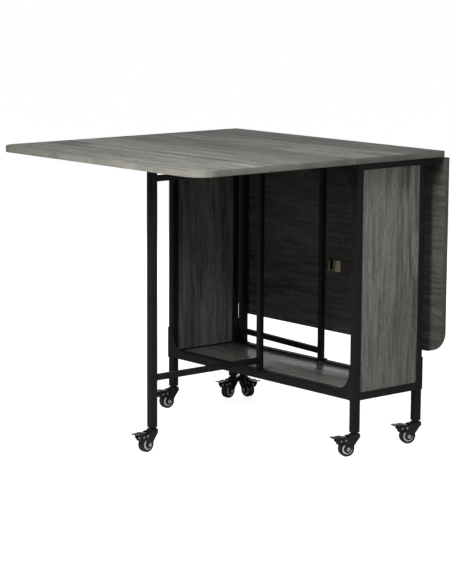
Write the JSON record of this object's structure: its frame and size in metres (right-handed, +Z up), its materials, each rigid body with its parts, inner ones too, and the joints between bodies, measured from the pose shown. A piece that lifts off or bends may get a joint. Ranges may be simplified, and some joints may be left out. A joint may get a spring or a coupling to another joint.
{
  "type": "rolling drop-leaf table",
  "caption": "Drop-leaf table with a narrow shelved carcass on braked casters, a raised leaf carried by a swung-out gate leg and a hanging leaf over a folded gate.",
  "frame": {"origin": "on the floor, under the middle of the object's box as shown, with the left leaf raised", "axes": "+X across the table towards the hanging leaf, +Y along the table away from the near end, +Z up"},
  "size_m": [0.819, 0.8, 0.75],
  "materials": {
    "frame_paint": "satin black powder coat",
    "board": "semi-gloss grey wood grain",
    "hinge_steel": "zinc plated",
    "brass": "brushed",
    "dark_screw": "black oxide",
    "zinc_screw": "zinc plated",
    "stem_steel": "zinc plated",
    "fork_paint": "gloss black",
    "axle_steel": "bright zinc",
    "tyre": "matte",
    "wheel_core": "satin white",
    "pedal_plastic": "matte black"
  },
  "bodies": {
    "carcass": {"end_frame_near": "frame_paint", "end_frame_far": "frame_paint", "end_panel_near": "board", "end_panel_far": "board", "low_rail_left": "frame_paint", "low_rail_right": "frame_paint", "high_rail_left": "frame_paint", "high_rail_right": "frame_paint", "shelf": "board", "centre_board": "board", "centre_hinge_plates": "hinge_steel", "hinge_pins": "hinge_steel", "pivot_pins": "hinge_steel", "pivot_saddles": "frame_paint", "frame_screws": "dark_screw", "centre_screws": "zinc_screw", "carcass_stems": "stem_steel"},
    "left_leaf": {"leaf_left": "board", "leaf_left_hinge_plates": "hinge_steel", "catch_left": "brass", "leaf_left_screws": "zinc_screw"},
    "right_leaf": {"leaf_right": "board", "leaf_right_hinge_plates": "hinge_steel", "catch_right": "brass", "leaf_right_screws": "zinc_screw"},
    "left_gate": {"gate_left": "frame_paint", "gate_left_stem": "stem_steel"},
    "right_gate": {"gate_right": "frame_paint", "gate_right_stem": "stem_steel"},
    "fork_body_near_left": {"fork_near_left": "fork_paint", "axle_near_left": "axle_steel"},
    "wheel_near_left": {"tyre_near_left": "tyre", "core_near_left": "wheel_core"},
    "brake_near_left": {"pedal_near_left": "pedal_plastic"},
    "fork_body_near_right": {"fork_near_right": "fork_paint", "axle_near_right": "axle_steel"},
    "wheel_near_right": {"tyre_near_right": "tyre", "core_near_right": "wheel_core"},
    "brake_near_right": {"pedal_near_right": "pedal_plastic"},
    "fork_body_far_left": {"fork_far_left": "fork_paint", "axle_far_left": "axle_steel"},
    "wheel_far_left": {"tyre_far_left": "tyre", "core_far_left": "wheel_core"},
    "brake_far_left": {"pedal_far_left": "pedal_plastic"},
    "fork_body_far_right": {"fork_far_right": "fork_paint", "axle_far_right": "axle_steel"},
    "wheel_far_right": {"tyre_far_right": "tyre", "core_far_right": "wheel_core"},
    "brake_far_right": {"pedal_far_right": "pedal_plastic"},
    "fork_body_gate_left": {"fork_gate_left": "fork_paint", "axle_gate_left": "axle_steel"},
    "wheel_gate_left": {"tyre_gate_left": "tyre", "core_gate_left": "wheel_core"},
    "brake_gate_left": {"pedal_gate_left": "pedal_plastic"},
    "fork_body_gate_right": {"fork_gate_right": "fork_paint", "axle_gate_right": "axle_steel"},
    "wheel_gate_right": {"tyre_gate_right": "tyre", "core_gate_right": "wheel_core"},
    "brake_gate_right": {"pedal_gate_right": "pedal_plastic"}
  },
  "joints": [
    {"name": "left_gate_swing", "type": "hinge", "parent": "carcass", "child": "left_gate", "pos_m": [0.1355, 0.003, 0.4375], "axis": [0, 0, 1], "range_deg": [0, 74], "deforming": ["catch_left"]},
    {"name": "right_gate_swing", "type": "hinge", "parent": "carcass", "child": "right_gate", "pos_m": [0.3475, -0.003, 0.4375], "axis": [0, 0, 1], "range_deg": [-0.4, 0.15]},
    {"name": "left_leaf_lift", "type": "hinge", "parent": "carcass", "child": "left_leaf", "pos_m": [0.091, 0, 0.7325], "axis": [0, 1, 0], "range_deg": [0, 3]},
    {"name": "right_leaf_fold", "type": "hinge", "parent": "carcass", "child": "right_leaf", "pos_m": [0.392, 0, 0.7325], "axis": [0, -1, 0], "range_deg": [0, 90]},
    {"name": "near_left_swivel", "type": "hinge", "parent": "carcass", "child": "fork_body_near_left", "pos_m": [0.1335, -0.358, 0.052], "axis": [0, 0, 1], "continuous": true},
    {"name": "near_left_wheel_spin", "type": "hinge", "parent": "fork_body_near_left", "child": "wheel_near_left", "pos_m": [0.11283, -0.35048, 0.02], "axis": [-0.342, -0.9397, 0], "continuous": true},
    {"name": "near_left_brake_tilt", "type": "hinge", "parent": "fork_body_near_left", "child": "brake_near_left", "pos_m": [0.09619, -0.34442, 0.041], "axis": [-0.342, -0.9397, 0], "range_deg": [0, 12]},
    {"name": "near_right_swivel", "type": "hinge", "parent": "carcass", "child": "fork_body_near_right", "pos_m": [0.3495, -0.358, 0.052], "axis": [0, 0, 1], "continuous": true},
    {"name": "near_right_wheel_spin", "type": "hinge", "parent": "fork_body_near_right", "child": "wheel_near_right", "pos_m": [0.3294, -0.34905, 0.02], "axis": [-0.4067, -0.9135, 0], "continuous": true},
    {"name": "near_right_brake_tilt", "type": "hinge", "parent": "fork_body_near_right", "child": "brake_near_right", "pos_m": [0.31323, -0.34185, 0.041], "axis": [-0.4067, -0.9135, 0], "range_deg": [0, 12]},
    {"name": "far_left_swivel", "type": "hinge", "parent": "carcass", "child": "fork_body_far_left", "pos_m": [0.1335, 0.358, 0.052], "axis": [0, 0, 1], "continuous": true},
    {"name": "far_left_wheel_spin", "type": "hinge", "parent": "fork_body_far_left", "child": "wheel_far_left", "pos_m": [0.11171, 0.36106, 0.02], "axis": [-0.1392, -0.9903, 0], "continuous": true},
    {"name": "far_left_brake_tilt", "type": "hinge", "parent": "fork_body_far_left", "child": "brake_far_left", "pos_m": [0.09419, 0.36353, 0.041], "axis": [-0.1392, -0.9903, 0], "range_deg": [0, 12]},
    {"name": "far_right_swivel", "type": "hinge", "parent": "carcass", "child": "fork_body_far_right", "pos_m": [0.3495, 0.358, 0.052], "axis": [0, 0, 1], "range_deg": [-90, 45]},
    {"name": "far_right_wheel_spin", "type": "hinge", "parent": "fork_body_far_right", "child": "wheel_far_right", "pos_m": [0.32766, 0.35532, 0.02], "axis": [0.1219, -0.9925, 0], "continuous": true},
    {"name": "far_right_brake_tilt", "type": "hinge", "parent": "fork_body_far_right", "child": "brake_far_right", "pos_m": [0.3101, 0.35316, 0.041], "axis": [0.1219, -0.9925, 0], "range_deg": [0, 12]},
    {"name": "gate_left_swivel", "type": "hinge", "parent": "left_gate", "child": "fork_body_gate_left", "pos_m": [-0.2225, 0.003, 0.052], "axis": [0, 0, 1], "continuous": true},
    {"name": "gate_left_wheel_spin", "type": "hinge", "parent": "fork_body_gate_left", "child": "wheel_gate_left", "pos_m": [-0.24442, 0.00108, 0.02], "axis": [0.0872, -0.9962, 0], "continuous": true},
    {"name": "gate_left_brake_tilt", "type": "hinge", "parent": "fork_body_gate_left", "child": "brake_gate_left", "pos_m": [-0.26205, -0.00046, 0.041], "axis": [0.0872, -0.9962, 0], "range_deg": [0, 12]},
    {"name": "gate_right_swivel", "type": "hinge", "parent": "right_gate", "child": "fork_body_gate_right", "pos_m": [0.3805, 0.35348, 0.052], "axis": [0, 0, 1], "range_deg": [-10, 170]},
    {"name": "gate_right_wheel_spin", "type": "hinge", "parent": "fork_body_gate_right", "child": "wheel_gate_right", "pos_m": [0.3805, 0.33148, 0.02], "axis": [1, 0, 0], "continuous": true},
    {"name": "gate_right_brake_tilt", "type": "hinge", "parent": "fork_body_gate_right", "child": "brake_gate_right", "pos_m": [0.3805, 0.31378, 0.041], "axis": [1, 0, 0], "range_deg": [0, 12]}
  ]
}
